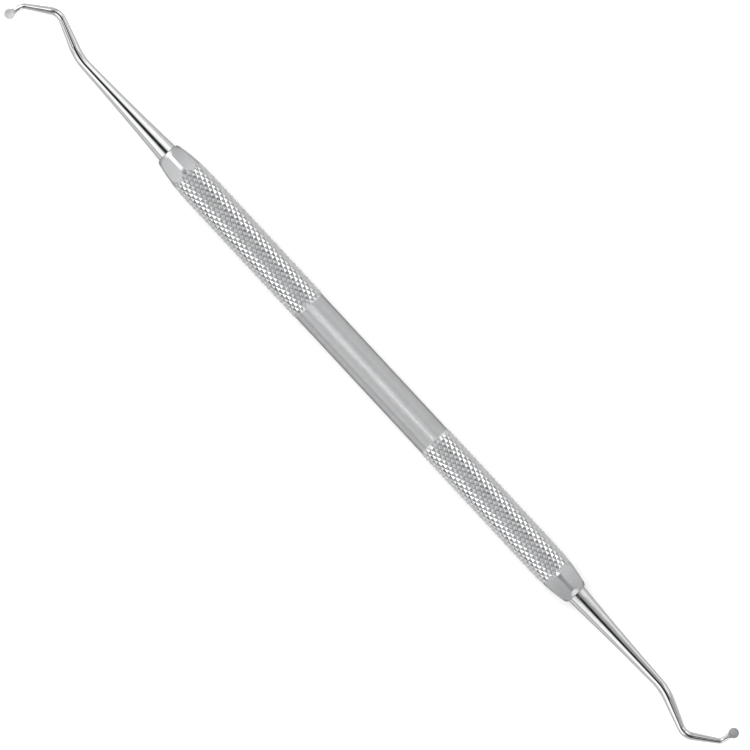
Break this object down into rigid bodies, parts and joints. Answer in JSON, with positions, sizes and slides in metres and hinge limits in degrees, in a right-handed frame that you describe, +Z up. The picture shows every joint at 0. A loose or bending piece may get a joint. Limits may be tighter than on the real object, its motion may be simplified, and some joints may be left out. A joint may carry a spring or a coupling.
{
  "type": "dental excavator",
  "caption": "Double-ended spoon excavator with a knurled round grip, six-sided noses, bent tapered shanks and small round spoons.",
  "frame": {"origin": "on the table, under the middle of the handle", "axes": "+X along the handle towards the end whose spoon opens downwards, +Z up, square to the plane of the bends"},
  "size_m": [0.1764, 0.009, 0.0063],
  "materials": {
    "satin_steel": "satin",
    "polished_steel": "mirror polished"
  },
  "bodies": {
    "root": {"handle": "satin_steel", "working_end_left": "polished_steel", "working_end_right": "polished_steel"}
  },
  "joints": []
}
